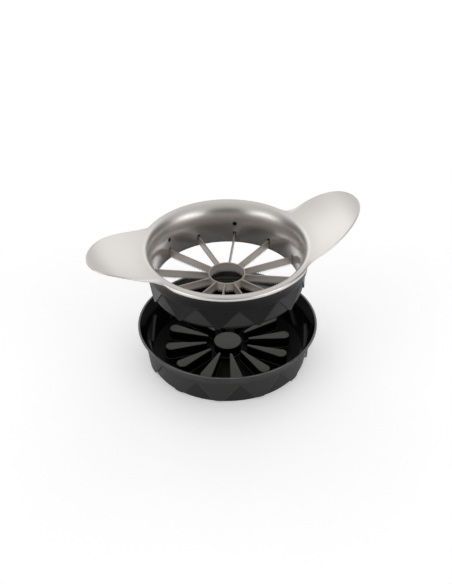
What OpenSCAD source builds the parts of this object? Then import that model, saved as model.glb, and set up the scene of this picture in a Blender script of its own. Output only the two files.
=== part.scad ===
// Tomato slicer: a pressed steel frame with a star of serrated blades and two leaf handles,
// a toothed guard ring under its rim, and a tray whose pads push the fruit through the blades.
// The tray stands on its foot at the origin, +Z is up and the handles lie along X.

/* [Segments] */
// Number of blades, which is also the number of guard teeth, tray teeth and pads
segment_count = 12; // [8:1:14]
// Height of the slicer above the place where it ends up when it is pressed home
lift = 59; // [20:1:80]
// Gap left between the tray floor and the guard teeth when the slicer is pressed home
press_gap = 1.6; // [0.8:0.1:4]
// Gap around pieces that are pushed or welded into each other
fit_gap = 0.05; // [0.02:0.01:0.15]

/* [Steel frame] */
// Inside diameter of the wall that holds the blades
bore_d = 102.8; // [90:0.2:120]
// Thickness of the pressed sheet
sheet = 1.2; // [0.8:0.1:1.6]
// Height of the plain wall, from its lower edge to the start of the flare
wall_h = 15.3; // [13:0.1:24]
// How far the lower edge of the wall stays above the tips of the guard teeth
wall_up = 0.1; // [0:0.1:1.5]
// Outward reach of the flare above the wall
flare_w = 8.2; // [5:0.1:12]
// Height of the flare above the wall
flare_h = 16.6; // [13:0.1:24]
// Outer radius of the rolled rim
roll_r = 2.2; // [2:0.1:4]
// How far the roll turns down past its outermost point, in degrees
roll_under = 55; // [30:1:70]

/* [Handles] */
// Distance of a handle's tip from the middle of the slicer
handle_reach = 101.5; // [90:0.5:120]
// Height of a handle's tip above the rim
handle_rise = 13.4; // [4:0.1:22]
// Distance of the handle's short edge from the handle axis
short_edge = 21.5; // [16:0.5:26]
// Distance of the handle's long edge from the handle axis, at its root
long_edge = 41.7; // [36:0.5:46]
// Angle round the rim where the short edge runs into it, in degrees
short_root = 30; // [28:1:36]
// Angle round the rim where the long edge runs into it, in degrees
long_root = 52; // [50:1:58]

/* [Blades] */
// Height of a blade, from its top edge to its tooth tips
blade_h = 7.5; // [5:0.1:10]
// Thickness of a blade
blade_t = 1; // [0.6:0.1:1.4]
// How far the blades stay above the tips of the guard teeth
blade_up = 0.6; // [0:0.1:3]
// Distance from one cutting tooth to the next
tooth_pitch = 1.5; // [1.4:0.1:3]
// Depth of the cutting teeth
tooth_depth = 1.6; // [0.5:0.1:2]
// Height of the tab at a blade's outer end that goes through the wall
tab_h = 4; // [2:0.1:5]
// Distance of the tab below the blade's top edge
tab_down = 0; // [0:0.1:2]
// Gap beside and below a tab in its slot
slot_gap = 0.4; // [0.1:0.05:0.8]
// Gap above a tab in its slot
slot_up = 1.4; // [0.4:0.1:2]

/* [Core ring] */
// Outside diameter of the ring that cuts out the core
core_d = 26.4; // [20:0.2:34]
// Wall of the core ring
core_wall = 1; // [0.6:0.1:1.6]
// How far the core ring stands above the blades
core_proud = 0.5; // [0:0.1:2]

/* [Guard ring] */
// Thickness of the guard at the tips of its teeth
guard_tip_t = 2.95; // [2.4:0.05:4]
// Thickness of the guard at its shoulder, above the teeth
guard_shoulder_t = 4.5; // [4.1:0.1:6]
// Reach of the guard's collar outside the wall, under the rolled rim
guard_collar_t = 6.3; // [6.1:0.1:6.8]
// Width of a guard tooth at its tip
guard_tip_w = 3; // [1.5:0.5:8]
// Height of a guard tooth, up to the point of the recess beside it
guard_tooth_h = 16.4; // [10:0.1:18]
// Depth of the recesses between the guard teeth
guard_step = 1.5; // [0.8:0.1:1.8]
// How far the recesses' lower edge stays above the tips
guard_edge_up = 1.7; // [0.5:0.1:4]
// Thickness of the skirt that covers the wall below the recesses' lower edge
guard_skirt_t = 0.8; // [0.6:0.1:1.2]
// Gap between the collar's top and the end of the rolled rim
collar_gap = 0.6; // [0.3:0.1:1.5]

/* [Guard pins] */
// Diameter of the pins that hold the guard on the wall
pin_d = 3.2; // [2:0.1:4]
// Height of the pins above the start of the flare
pin_up = 1; // [-3:0.1:2]
// Angle of the pins from the handle axis, in degrees
pin_angle = 60; // [40:5:75]
// Length of a pin inside the guard
pin_bite = 2; // [1.5:0.1:2.2]

/* [Tray] */
// Height of the tray
tray_h = 27.5; // [25:0.5:34]
// How far a tray tooth leans out over the height of the recess beside it
tray_lean = 1.2; // [0.4:0.1:3]
// Outward reach of the flared band above the teeth
tray_flare = 5.2; // [3:0.1:7]
// Height of the upright lip round the tray's rim
tray_lip_h = 0.9; // [0.5:0.1:2]
// Wall of the tray
tray_wall = 1.5; // [1.2:0.1:2]
// Floor of the tray
tray_floor = 2; // [1.2:0.1:4]
// Gap between the tray's wall and the guard's tips when the slicer is pressed home
nest_gap = 1.7; // [1.5:0.1:3]
// Width that a tray tooth's sides reach at the foot
tray_tip_w = 5; // [3:0.2:10]
// Height of the recesses between the tray teeth
tray_recess_h = 16.7; // [12:0.1:18]
// Depth of the recesses between the tray teeth
tray_step = 1.9; // [1:0.1:2]
// How far the tray's teeth end above the foot
tray_tip_up = 1.5; // [0.8:0.1:1.8]

/* [Pads] */
// Height of the pads above the tray floor
pad_h = 8.5; // [4:0.5:14]
// Width of a pad at its round outer end
pad_w = 9; // [6:0.5:12]
// Width of a pad at its inner end
pad_tip_w = 2.4; // [1.6:0.2:3.6]
// Gap between a pad's outer end and the wall of the frame
pad_wall_gap = 5.4; // [3:0.1:12]
// Gap between a pad and the core ring
pad_core_gap = 2; // [1:0.1:5]

/* [Hidden] */
$fn = 96;
flare_steps = 12;
roll_steps = 12;
curve_steps = 14;
// Spare reach of the cutting shapes past what they cut
over = 1;

step_angle = 360 / segment_count;
blade_names = [for (i = [1 : segment_count]) str("blade_", i < 10 ? "0" : "", i)];

steel_color = [0.80, 0.79, 0.77];
blade_color = [0.62, 0.58, 0.55];
plastic_color = [0.15, 0.15, 0.15];
pad_color = [0.30, 0.30, 0.29];

// Heights of the slicer
tip_z = tray_floor + press_gap + lift;
wall_z = tip_z + wall_up;
flare_z = wall_z + wall_h;
crest_z = flare_z + flare_h;
blade_z = tip_z + blade_up;
blade_top_z = blade_z + blade_h;
core_top_z = blade_top_z + core_proud;
pin_z = flare_z + pin_up;

// Radii of the slicer
bore_r = bore_d / 2;
wall_r = bore_r + sheet;
crest_r = bore_r + flare_w;
rim_r = crest_r + roll_r;
core_r = core_d / 2;
guard_bore_r = wall_r + fit_gap;
guard_tip_r = guard_bore_r + guard_tip_t;
guard_shoulder_r = guard_bore_r + guard_shoulder_t;
guard_collar_r = guard_bore_r + guard_collar_t;
// A shoulder lies a little above the points of the recesses below it
shoulder_up = 1;
guard_shoulder_z = tip_z + guard_tooth_h + shoulder_up;
guard_top_z = crest_z - roll_r - roll_r * sin(roll_under) - collar_gap;

// The tray's wall clears the guard's tips at the height where they come to rest
tray_slope = tray_lean / tray_recess_h;
tray_in_r = guard_tip_r + nest_gap - tray_slope * (tray_floor + press_gap);
tray_base_r = tray_in_r + tray_wall;
tray_shoulder_z = tray_recess_h + shoulder_up;
tray_shoulder_r = tray_base_r + tray_slope * tray_shoulder_z;
tray_rim_r = tray_shoulder_r + tray_flare;

// A point on a cubic curve, and a run of them
function on_curve(p, t) =
    pow(1 - t, 3) * p[0] + 3 * pow(1 - t, 2) * t * p[1] + 3 * (1 - t) * t * t * p[2] + pow(t, 3) * p[3];
function curve(p) = [for (i = [0 : curve_steps]) on_curve(p, i / curve_steps)];
function reversed(list) = [for (i = [len(list) - 1 : -1 : 0]) list[i]];
function polar(r, a) = [r * cos(a), r * sin(a)];
function arc(middle, r, from, to) =
    [for (i = [0 : curve_steps]) middle + polar(r, from + (to - from) * i / curve_steps)];

// The flare's face at t degrees, and the same point moved outward through the sheet
function flare_normal(t) =
    [flare_h * cos(t), -flare_w * sin(t)] / norm([flare_h * cos(t), flare_w * sin(t)]);
function flare_point(t, depth) =
    [bore_r + flare_w * (1 - cos(t)), flare_z + flare_h * sin(t)] + depth * flare_normal(t);
function flare_face(depth, t_end) = [for (i = [0 : flare_steps]) flare_point(t_end * i / flare_steps, depth)];
function roll_face(depth) =
    [for (i = [1 : roll_steps]) [crest_r, crest_z - roll_r]
        + polar(roll_r - depth, 90 - (90 + roll_under) * i / roll_steps)];
function frame_face(depth) = concat([[bore_r + depth, wall_z]], flare_face(depth, 90), roll_face(depth));

// The triangle between two teeth, seen from outside: half_w wide each way at the foot, closed at height h,
// and carried on below the foot
function recess(half_w, h, below = over) =
    [[-half_w * (h + below) / h, -below], [half_w * (h + below) / h, -below], [0, h]];

// Lays a flat outline of sideways and upward distances against the wall and runs it outward from the middle
module radial(length) {
    rotate([90, 0, 90])
        linear_extrude(length)
            children();
}

// Places a shape at each segment, turned by a share of the segment
module each_segment(share = 0) {
    for (i = [0 : segment_count - 1])
        rotate([0, 0, (i + share) * step_angle])
            children();
}

// Half the width of a tray recess at the foot, between two blunt teeth
tray_recess_w = (2 * PI * tray_base_r / segment_count - tray_tip_w) / 2;
// The boss behind a recess reaches a wall further to each side
boss_grow = 1 + tray_wall / tray_recess_w;
// The flared band leaves the teeth along their slope and meets the lip at a flatter one
lip_slope = 0.75;
band_low = [tray_shoulder_r, tray_shoulder_z];
band_high = [tray_rim_r, tray_h - tray_lip_h];
band_bow = (band_high - band_low)[1] / 3;
band_start = [tray_slope, 1] * band_bow;
band_end = [lip_slope, 1] * band_bow;

// The tray's wall from a starting height up to the rim, at a depth inside its outer face
function tray_face(depth, from) = [for (p = concat([[tray_base_r + tray_slope * from, from]],
    curve([band_low, band_low + band_start, band_high - band_end, band_high]), [[tray_rim_r, tray_h]]))
    p - [depth, 0]];

module tray() {
    color(plastic_color)
    difference() {
        union() {
            rotate_extrude()
                polygon(concat([[0, 0]], tray_face(0, 0), reversed(tray_face(tray_wall, tray_floor)),
                    [[0, tray_floor]]));
            intersection() {
                rotate_extrude()
                    polygon(concat(tray_face(tray_wall / 2, tray_floor / 2),
                        reversed(tray_face(tray_wall + tray_step, tray_floor / 2))));
                union() {
                    cylinder(h = tray_tip_up + tray_wall, r = tray_rim_r);
                    each_segment(0.5)
                        radial(tray_rim_r)
                            polygon(recess(tray_recess_w * boss_grow, tray_recess_h * boss_grow));
                }
            }
        }
        difference() {
            union() {
                translate([0, 0, -over])
                    cylinder(h = tray_tip_up + over, r = tray_rim_r + over);
                each_segment(0.5)
                    radial(tray_rim_r + over)
                        polygon(recess(tray_recess_w, tray_recess_h));
            }
            translate([0, 0, -over])
                cylinder(h = tray_recess_h + 2 * over, r1 = tray_base_r - tray_step - tray_slope * over,
                    r2 = tray_base_r - tray_step + tray_slope * (tray_recess_h + over));
        }
    }
}

pad_end_r = pad_w / 2;
pad_tip_r = pad_tip_w / 2;
pad_end_x = bore_r - pad_wall_gap - pad_end_r;
pad_tip_x = core_r + pad_core_gap + pad_tip_r;
// Direction of the point where a pad's straight side leaves its round ends
pad_side = acos((pad_end_r - pad_tip_r) / (pad_end_x - pad_tip_x));
pad_outline = concat(arc([pad_end_x, 0], pad_end_r, -pad_side, pad_side),
    arc([pad_tip_x, 0], pad_tip_r, pad_side, 360 - pad_side));
centre_pad_r = core_r - core_wall - pad_core_gap;

module rest_pads() {
    color(pad_color)
    translate([0, 0, tray_floor])
    linear_extrude(pad_h) {
        circle(r = centre_pad_r);
        each_segment(0.5)
            polygon(pad_outline);
    }
}

// Ends of the handle's edges: the tip is a little off the axis, the short edge starts outside the rim and
// the long edge inside it
tip_side = -0.5;
short_out = 4.2;
long_in = 11.8;
leaf_tip = [handle_reach, tip_side];
short_start = [rim_r + short_out, short_edge];
long_start = [rim_r - long_in, -long_edge];
// How far each edge keeps its direction away from its ends
tip_bow = [0, 15.5];
short_bow = [18, 0];
long_bow = [32, 5.5];
root_bow = 5;
short_root_bow = [root_bow, 0];
long_root_bow = [root_bow, 1];
// Plan outline of one handle: out along the short edge, round the tip and back along the long edge
leaf = concat(
    curve([polar(rim_r, short_root), polar(rim_r, short_root) + polar(root_bow, short_root - 90),
        short_start - short_root_bow, short_start]),
    curve([short_start, short_start + short_bow, leaf_tip + tip_bow, leaf_tip]),
    curve([leaf_tip, leaf_tip - tip_bow, long_start + long_bow, long_start]),
    curve([long_start, long_start - long_root_bow,
        polar(rim_r, -long_root) + polar(root_bow, 90 - long_root), polar(rim_r, -long_root)]));

// The handle's rise away from the rim. Its root starts inside the sheet at the crest, it leaves the rim level
// and it comes out nearly level at the tip.
root_in = 1.2;
weld_up = 0.2;
rise_start = [7.2, 0];
rise_end = [18.5, 1];
handle_root = [crest_r, crest_z + weld_up];
handle_end = [handle_reach + over, crest_z + handle_rise];
handle_top = curve([handle_root, handle_root + rise_start, handle_end - rise_end, handle_end]);
handle_under = [for (p = handle_top) p - [0, sheet]];

module handle() {
    intersection() {
        rotate_extrude()
            polygon(concat([[crest_r - root_in, crest_z - sheet / 2]], handle_top, reversed(handle_under)));
        translate([0, 0, tip_z])
            linear_extrude(crest_z + handle_rise - tip_z + over)
                polygon(concat([[0, 0]], leaf));
    }
}

// The holes that the blades' tabs and the pins pass through
module tab_slots() {
    each_segment()
        translate([bore_r - over, -blade_t / 2 - slot_gap, blade_top_z - tab_down - tab_h - slot_gap])
            cube([sheet + 2 * over, blade_t + 2 * slot_gap, slot_gap + tab_h + slot_up]);
}

module at_pins() {
    for (a = [pin_angle, 180 - pin_angle, 180 + pin_angle, -pin_angle])
        rotate([0, 0, a])
            translate([bore_r, 0, pin_z])
                rotate([0, 90, 0])
                    children();
}

module steel_frame() {
    color(steel_color)
    difference() {
        union() {
            rotate_extrude()
                polygon(concat(frame_face(0), reversed(frame_face(sheet))));
            handle();
            rotate([0, 0, 180])
                handle();
        }
        tab_slots();
        at_pins()
            translate([0, 0, -over])
                cylinder(h = 2 * over + sheet, d = pin_d + 2 * fit_gap, $fn = 32);
    }
}

core_tooth_count = floor(2 * PI * core_r / tooth_pitch);
// Flat left at the point of a cutting tooth
tooth_flat = 0.3;
core_notch_w = (2 * PI * core_r / core_tooth_count - tooth_flat) / 2;
// Spare reach of a notch below the tooth points, which ends short of the next notch
notch_over = tooth_flat / 3;

module core_ring() {
    color(blade_color)
    difference() {
        translate([0, 0, blade_z])
            cylinder(h = core_top_z - blade_z, r = core_r);
        translate([0, 0, blade_z - over])
            cylinder(h = core_top_z - blade_z + 2 * over, r = core_r - core_wall);
        for (i = [0 : core_tooth_count - 1])
            rotate([0, 0, (i + 0.5) * 360 / core_tooth_count])
                translate([core_r - core_wall - over, 0, blade_z])
                    radial(core_wall + 2 * over)
                        polygon(recess(core_notch_w, tooth_depth, notch_over));
    }
}

blade_tooth_count = floor((bore_r - core_r) / tooth_pitch);
blade_tooth_w = (bore_r - core_r) / blade_tooth_count;
blade_edge = [for (i = [0 : blade_tooth_count - 1], part = [0, 0.5])
    [core_r + (i + part) * blade_tooth_w, blade_z + (part == 0 ? tooth_depth : 0)]];

module blade(index) {
    color(blade_color)
    rotate([0, 0, index * step_angle]) {
        intersection() {
            difference() {
                rotate([90, 0, 0])
                    linear_extrude(blade_t, center = true)
                        polygon(concat([[core_r - over, blade_top_z], [core_r - over, blade_z + tooth_depth]],
                            blade_edge, [[bore_r + over, blade_z + tooth_depth], [bore_r + over, blade_top_z]]));
                translate([0, 0, blade_z - over])
                    cylinder(h = blade_h + 2 * over, r = core_r);
            }
            translate([0, 0, blade_z - over])
                cylinder(h = blade_h + 2 * over, r = bore_r);
        }
        translate([bore_r - over, -blade_t / 2, blade_top_z - tab_down - tab_h])
            cube([sheet + over, blade_t, tab_h]);
    }
}

// Half the width of a guard recess at the tips
guard_recess_w = (2 * PI * guard_tip_r / segment_count - guard_tip_w) / 2;
// The flat face of a guard tooth meets the round shoulder at the tooth's upper corners
guard_face_x = guard_shoulder_r * cos(step_angle / 2);
// How far round the flare the guard follows the sheet, in degrees
flare_follow = asin((guard_top_z - flare_z) / flare_h);
collar_curve = curve([[guard_shoulder_r, guard_shoulder_z],
    [guard_shoulder_r, (guard_shoulder_z + guard_top_z) / 2],
    [guard_shoulder_r + (guard_collar_r - guard_shoulder_r) / 3, guard_top_z - over],
    [guard_collar_r, guard_top_z]]);

module guard_ring() {
    color(plastic_color)
    difference() {
        rotate_extrude()
            polygon(concat([[guard_bore_r, tip_z], [guard_tip_r, tip_z]], collar_curve,
                reversed(flare_face(sheet + fit_gap, flare_follow))));
        translate([0, 0, tip_z]) {
            each_segment()
                translate([guard_face_x, -guard_collar_r, -over])
                    cube([guard_collar_r, 2 * guard_collar_r, guard_tooth_h + over]);
            difference() {
                each_segment(0.5)
                    radial(guard_collar_r)
                        polygon(recess(guard_recess_w, guard_tooth_h));
                translate([0, 0, -over])
                    cylinder(h = guard_tooth_h + 2 * over, r1 = guard_tip_r - guard_step,
                        r2 = guard_shoulder_r - guard_step);
            }
            difference() {
                each_segment(0.5)
                    radial(guard_collar_r)
                        intersection() {
                            polygon(recess(guard_recess_w, guard_tooth_h));
                            translate([-guard_recess_w * 2, -over])
                                square([guard_recess_w * 4, over + guard_edge_up]);
                        }
                translate([0, 0, -2 * over])
                    cylinder(h = guard_edge_up + 3 * over, r = guard_bore_r + guard_skirt_t);
            }
        }
        at_pins()
            cylinder(h = sheet + pin_bite + fit_gap, d = pin_d, $fn = 32);
    }
}

module guard_pins() {
    color(plastic_color)
    at_pins()
        cylinder(h = sheet + pin_bite, d = pin_d, $fn = 32);
}

tray();
rest_pads();
steel_frame();
core_ring();
guard_ring();
guard_pins();
for (i = [0 : segment_count - 1])
    blade(i);
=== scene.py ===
"""Looks of the tomato slicer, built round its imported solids, in their frame."""

import math
from dataclasses import dataclass
from typing import Callable

import bmesh
import bpy
import numpy as np
from mathutils import Matrix, Vector


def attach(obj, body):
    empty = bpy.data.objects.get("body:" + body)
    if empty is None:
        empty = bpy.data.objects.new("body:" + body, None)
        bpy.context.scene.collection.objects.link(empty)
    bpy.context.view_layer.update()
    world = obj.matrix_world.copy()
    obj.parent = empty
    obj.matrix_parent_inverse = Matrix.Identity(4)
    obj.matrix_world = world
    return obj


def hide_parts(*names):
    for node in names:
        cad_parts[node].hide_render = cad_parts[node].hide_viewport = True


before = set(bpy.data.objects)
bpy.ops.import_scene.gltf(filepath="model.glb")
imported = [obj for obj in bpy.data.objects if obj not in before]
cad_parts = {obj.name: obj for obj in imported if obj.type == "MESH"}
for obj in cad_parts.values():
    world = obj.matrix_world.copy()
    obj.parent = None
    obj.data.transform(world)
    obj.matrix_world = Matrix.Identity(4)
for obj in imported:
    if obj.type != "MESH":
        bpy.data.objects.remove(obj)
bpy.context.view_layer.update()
scene = bpy.context.scene

# Sizes in millimetres and angles in degrees, named after those in the part's source
MM = 0.001
SEGMENTS = 12
LIFT = 59.0
PRESS_GAP = 1.6
FIT_GAP = 0.05
SHOULDER_UP = 1.0

# Steel frame
BORE_R = 51.4
SHEET = 1.2
WALL_H = 15.3
WALL_UP = 0.1
FLARE_W = 8.2
FLARE_H = 16.6
ROLL_R = 2.2
ROLL_UNDER = 55.0

# Handles: their reach and rise, then the points and bows of their plan outline
HANDLE_REACH = 101.5
HANDLE_RISE = 13.4
SHORT_EDGE = 21.5
LONG_EDGE = 41.7
SHORT_ROOT = 30.0
LONG_ROOT = 52.0
TIP_SIDE = -0.5
SHORT_OUT = 4.2
LONG_IN = 11.8
TIP_BOW = (0.0, 15.5)
SHORT_BOW = (18.0, 0.0)
LONG_BOW = (32.0, 5.5)
ROOT_BOW = 5.0
SHORT_ROOT_BOW = (ROOT_BOW, 0.0)
LONG_ROOT_BOW = (ROOT_BOW, 1.0)

# Blades and core ring
BLADE_H = 7.5
BLADE_T = 1.0
BLADE_UP = 0.6
TOOTH_PITCH = 1.5
TOOTH_DEPTH = 1.6
TAB_H = 4.0
SLOT_GAP = 0.4
SLOT_UP = 1.4
CORE_R = 13.2
CORE_WALL = 1.0
CORE_PROUD = 0.5

# Guard ring and pins
GUARD_TIP_T = 2.95
GUARD_SHOULDER_T = 4.5
GUARD_COLLAR_T = 6.3
GUARD_TIP_W = 3.0
GUARD_TOOTH_H = 16.4
GUARD_STEP = 1.5
GUARD_EDGE_UP = 1.7
GUARD_SKIRT_T = 0.8
COLLAR_GAP = 0.6
PIN_R = 1.6
PIN_UP = 1.0
PIN_ANGLES = (60, 120, 240, 300)
PIN_BITE = 2.0

# Tray and pads
TRAY_H = 27.5
TRAY_LEAN = 1.2
TRAY_FLARE = 5.2
TRAY_LIP_H = 0.9
TRAY_WALL = 1.5
TRAY_FLOOR = 2.0
NEST_GAP = 1.7
TRAY_TIP_W = 5.0
TRAY_RECESS_H = 16.7
TRAY_STEP = 1.9
TRAY_TIP_UP = 1.5
LIP_SLOPE = 0.75
PAD_H = 8.5
PAD_END_R = 4.5
PAD_TIP_R = 1.2
PAD_WALL_GAP = 5.4
PAD_CORE_GAP = 2.0

# Derived sizes
STEP = 360 / SEGMENTS
HALF = STEP / 2
TIP_Z = TRAY_FLOOR + PRESS_GAP + LIFT
WALL_Z = TIP_Z + WALL_UP
FLARE_Z = WALL_Z + WALL_H
WALL_R = BORE_R + SHEET
CREST_R = BORE_R + FLARE_W
CREST_Z = FLARE_Z + FLARE_H
RIM_R = CREST_R + ROLL_R
BLADE_Z = TIP_Z + BLADE_UP
BLADE_TOP_Z = BLADE_Z + BLADE_H
CORE_TOP_Z = BLADE_TOP_Z + CORE_PROUD
BLADE_TEETH = round((BORE_R - CORE_R) / TOOTH_PITCH)
CORE_TEETH = round(2 * math.pi * CORE_R / TOOTH_PITCH)
PIN_Z = FLARE_Z + PIN_UP
GUARD_BORE_R = WALL_R + FIT_GAP
GUARD_TIP_R = GUARD_BORE_R + GUARD_TIP_T
GUARD_SHOULDER_R = GUARD_BORE_R + GUARD_SHOULDER_T
GUARD_COLLAR_R = GUARD_BORE_R + GUARD_COLLAR_T
GUARD_SKIRT_R = GUARD_BORE_R + GUARD_SKIRT_T
GUARD_APEX_Z = TIP_Z + GUARD_TOOTH_H
GUARD_SHOULDER_Z = GUARD_APEX_Z + SHOULDER_UP
GUARD_TOP_Z = CREST_Z - ROLL_R * (1 + math.sin(math.radians(ROLL_UNDER))) - COLLAR_GAP
GUARD_EDGE_Z = TIP_Z + GUARD_EDGE_UP
GUARD_FACE_X = GUARD_SHOULDER_R * math.cos(math.radians(HALF))
TRAY_SLOPE = TRAY_LEAN / TRAY_RECESS_H
TRAY_BASE_R = GUARD_TIP_R + NEST_GAP - TRAY_SLOPE * (TRAY_FLOOR + PRESS_GAP) + TRAY_WALL
TRAY_SHOULDER_Z = TRAY_RECESS_H + SHOULDER_UP
TRAY_SHOULDER_R = TRAY_BASE_R + TRAY_SLOPE * TRAY_SHOULDER_Z
TRAY_RIM_R = TRAY_SHOULDER_R + TRAY_FLARE
TRAY_LIP_Z = TRAY_H - TRAY_LIP_H
TRAY_LEDGE_Z = TRAY_TIP_UP + TRAY_WALL
PAD_TOP_Z = TRAY_FLOOR + PAD_H
PAD_END_X = BORE_R - PAD_WALL_GAP - PAD_END_R
PAD_TIP_X = CORE_R + PAD_CORE_GAP + PAD_TIP_R
CENTRE_PAD_R = CORE_R - CORE_WALL - PAD_CORE_GAP


# Meshes

# Points nearer than this are welded, in metres
WELD = 2e-6
# The middle of a rounding drawn with one point lies this share of its radius from both faces
ROUND_MIDDLE = 0.3


def polar(radius, angle):
    """A point in the plane, from its radius and its angle in degrees."""
    return radius * np.array([math.cos(math.radians(angle)), math.sin(math.radians(angle))])


def polar_points(points):
    """Angle in degrees, radius and height to x, y and z."""
    points = np.asarray(points, float)
    angle = np.radians(points[..., 0])
    return np.stack([points[..., 1] * np.cos(angle), points[..., 1] * np.sin(angle), points[..., 2]], -1)


def turned(angle):
    """Rotation about the slicer's axis by an angle in degrees."""
    return np.array(Matrix.Rotation(math.radians(angle), 3, "Z"))


def cubic(p, count):
    """Points along a cubic curve."""
    t = np.linspace(0, 1, count)[:, None]
    p = np.asarray(p, float)
    return (1 - t) ** 3 * p[0] + 3 * (1 - t) ** 2 * t * p[1] + 3 * (1 - t) * t * t * p[2] + t ** 3 * p[3]


def smooth_step(t):
    """A share from 0 to 1 that starts and ends level."""
    t = np.clip(t, 0, 1)
    return t * t * (3 - 2 * t)


def loop_faces(rings, columns, closed=True, start=0):
    """Four-sided faces over rings of points. A closed sheet also joins its last ring to its first."""
    faces = []
    for i in range(rings if closed else rings - 1):
        k = (i + 1) % rings
        for j in range(columns):
            n = (j + 1) % columns
            faces.append((start + i * columns + j, start + i * columns + n,
                          start + k * columns + n, start + k * columns + j))
    return faces


def stack_faces(rings, columns, start=0):
    """Faces of a solid made of a stack of rings, with its first and its last ring filled."""
    last = start + (rings - 1) * columns
    ends = [tuple(range(start, start + columns)), tuple(range(last, last + columns))]
    return loop_faces(rings, columns, False, start) + ends


def make_mesh(name, points, faces):
    """A closed mesh with its joins welded and its faces turned outward. Points are in millimetres."""
    mesh = bpy.data.meshes.new(name)
    work = bmesh.new()
    corners = [work.verts.new(p) for p in np.asarray(points, float) * MM]
    for face in faces:
        if len(set(face)) > 2:
            work.faces.new([corners[i] for i in face])
    bmesh.ops.remove_doubles(work, verts=work.verts, dist=WELD)
    bmesh.ops.dissolve_degenerate(work, edges=work.edges, dist=WELD)
    bmesh.ops.recalc_face_normals(work, faces=work.faces)
    work.to_mesh(mesh)
    work.free()
    return mesh


def add_piece(name, mesh, materials, body, nodes, sharp=35):
    """A piece that stands for CAD nodes and rides on their body. Folds past sharp degrees stay edges."""
    mesh.shade_smooth()
    mesh.set_sharp_from_angle(angle=math.radians(sharp))
    for material in materials:
        mesh.materials.append(material)
    piece = bpy.data.objects.new(name, mesh)
    scene.collection.objects.link(piece)
    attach(piece, body)
    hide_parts(*nodes)
    return piece


def cut(mesh, cutter):
    """The mesh less another one."""
    kept = bpy.data.objects.new("kept", mesh)
    tool = bpy.data.objects.new("tool", cutter)
    for thing in (kept, tool):
        scene.collection.objects.link(thing)
    change = kept.modifiers.new("cut", "BOOLEAN")
    change.operation = "DIFFERENCE"
    change.solver = "EXACT"
    change.object = tool
    bpy.context.view_layer.update()
    graph = bpy.context.evaluated_depsgraph_get()
    result = bpy.data.meshes.new_from_object(kept.evaluated_get(graph))
    for thing in (kept, tool):
        bpy.data.objects.remove(thing)
    return result


# Materials

# Scales of the noises, per metre
RING_SCALE = 3500.0
SMUDGE_SCALE = 38.0
CLOUD_SCALE = 55.0
GRAIN_SCALE = 2600.0
PAPER_SCALE = 3.0
# Noise for broad drifts, noise for fine grain, and the noise values that count as lowest and highest
BROAD = {"Detail": 4.0, "Roughness": 0.6}
FINE = {"Detail": 2.0, "Roughness": 0.5}
NOISE_LOW = 0.3
NOISE_HIGH = 0.7
# How far the gloss drifts with the broad and with the fine noise
STEEL_UNEVEN = (0.015, 0.01)
PLASTIC_UNEVEN = (0.05, 0.04)
# Strength of the polishing rings, and depths of the rings and of the plastic's grain in metres
RING_STRENGTH = 0.02
RING_DEPTH = 0.00002
GRAIN_DEPTH = 0.00006
LIP_IOR = 1.7
# Places of a Mix node's colour sockets
MIX_SHARE, MIX_A, MIX_B, MIX_RESULT = 0, 6, 7, 2


def rgb(red, green, blue):
    """An opaque colour."""
    return (red, green, blue, 1.0)


def grey(level):
    """An opaque grey."""
    return rgb(level, level, level)


def node(tree, kind, inputs=None, **settings):
    """A shader node with its settings made, and its inputs set or linked."""
    made = tree.nodes.new(kind)
    for key, value in settings.items():
        setattr(made, key, value)
    for key, value in (inputs or {}).items():
        if isinstance(value, bpy.types.NodeSocket):
            tree.links.new(value, made.inputs[key])
        else:
            made.inputs[key].default_value = value
    return made


def new_material(name):
    """A material with its node tree, its shader and the place on the object."""
    material = bpy.data.materials.new(name)
    material.use_nodes = True
    tree = material.node_tree
    place = node(tree, "ShaderNodeTexCoord").outputs["Object"]
    return material, tree, tree.nodes["Principled BSDF"], place


def noise(tree, place, scale, kind):
    """Noise of a kind at a scale."""
    return node(tree, "ShaderNodeTexNoise", {"Vector": place, "Scale": scale, **kind}).outputs["Fac"]


def spread(tree, value, low, high):
    """Noise stretched to run from a low value to a high one."""
    return node(tree, "ShaderNodeMapRange", {"Value": value, "From Min": NOISE_LOW, "From Max": NOISE_HIGH,
                                             "To Min": low, "To Max": high}).outputs["Result"]


def blend_colors(tree, share, a, b):
    """A mix of two colours."""
    mix = node(tree, "ShaderNodeMix", {MIX_SHARE: share, MIX_A: a, MIX_B: b}, data_type="RGBA")
    return mix.outputs[MIX_RESULT]


def math_node(tree, operation, *values):
    """The result of a calculation on values or sockets."""
    return node(tree, "ShaderNodeMath", dict(enumerate(values)), operation=operation).outputs[0]


def ring_place(tree, place, across):
    """Coordinates that are the same all round the slicer's axis and change fast from ring to ring."""
    parts = node(tree, "ShaderNodeSeparateXYZ", {0: place}).outputs
    flat = node(tree, "ShaderNodeCombineXYZ", {0: parts[0], 1: parts[1]}).outputs[0]
    radius = node(tree, "ShaderNodeVectorMath", {0: flat}, operation="LENGTH").outputs["Value"]
    return node(tree, "ShaderNodeCombineXYZ",
                {0: math_node(tree, "MULTIPLY", radius, across),
                 1: math_node(tree, "MULTIPLY", parts[2], across)}).outputs[0]


def dress(tree, shader, broad, fine, colors, rough, uneven, strength, depth):
    """Colour and gloss that drift with a broad noise, and gloss and relief that follow a fine one."""
    color = blend_colors(tree, spread(tree, broad, 0.0, 1.0), *colors)
    tree.links.new(color, shader.inputs["Base Color"])
    gloss = math_node(tree, "ADD", spread(tree, broad, rough - uneven[0], rough + uneven[0]),
                      spread(tree, fine, -uneven[1], uneven[1]))
    tree.links.new(gloss, shader.inputs["Roughness"])
    bump = node(tree, "ShaderNodeBump", {"Height": fine, "Strength": strength, "Distance": depth})
    tree.links.new(bump.outputs[0], shader.inputs["Normal"])


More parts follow.
